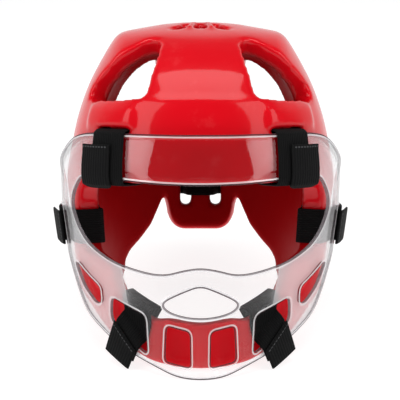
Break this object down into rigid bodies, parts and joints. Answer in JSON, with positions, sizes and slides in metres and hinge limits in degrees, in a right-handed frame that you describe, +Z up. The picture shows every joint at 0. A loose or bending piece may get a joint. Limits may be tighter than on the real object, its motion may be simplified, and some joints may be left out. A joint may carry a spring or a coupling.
{
  "type": "taekwondo headgear with clear face shield",
  "caption": "Dipped-foam martial arts headgear with crown vents, open face and chin bar, carrying a clear face shield held on by black hook-and-loop straps.",
  "frame": {"origin": "middle of the floor under the headgear's bounding box, as it rests on the shield's chin edge and the two rear flaps", "axes": "+X to the viewer's right, seen from the front; +Y to the back of the head, so the face opening faces -Y; +Z up. At rest the head's own upright leans back about 15.6 degrees."},
  "size_m": [0.2602, 0.2854, 0.2547],
  "materials": {
    "dipped_foam": "gloss",
    "clear_shield": "polished",
    "webbing": "matte"
  },
  "bodies": {
    "root": {"foam_shell": "dipped_foam", "face_shield": "clear_shield", "brow_strap_left": "webbing", "brow_strap_right": "webbing", "brow_tab_left": "webbing", "brow_tab_right": "webbing", "cheek_strap_left": "webbing", "cheek_strap_right": "webbing", "cheek_tab_left": "webbing", "cheek_tab_right": "webbing", "chin_strap_left": "webbing", "chin_strap_right": "webbing", "chin_tab_left": "webbing", "chin_tab_right": "webbing", "rear_strap": "webbing"}
  },
  "joints": []
}
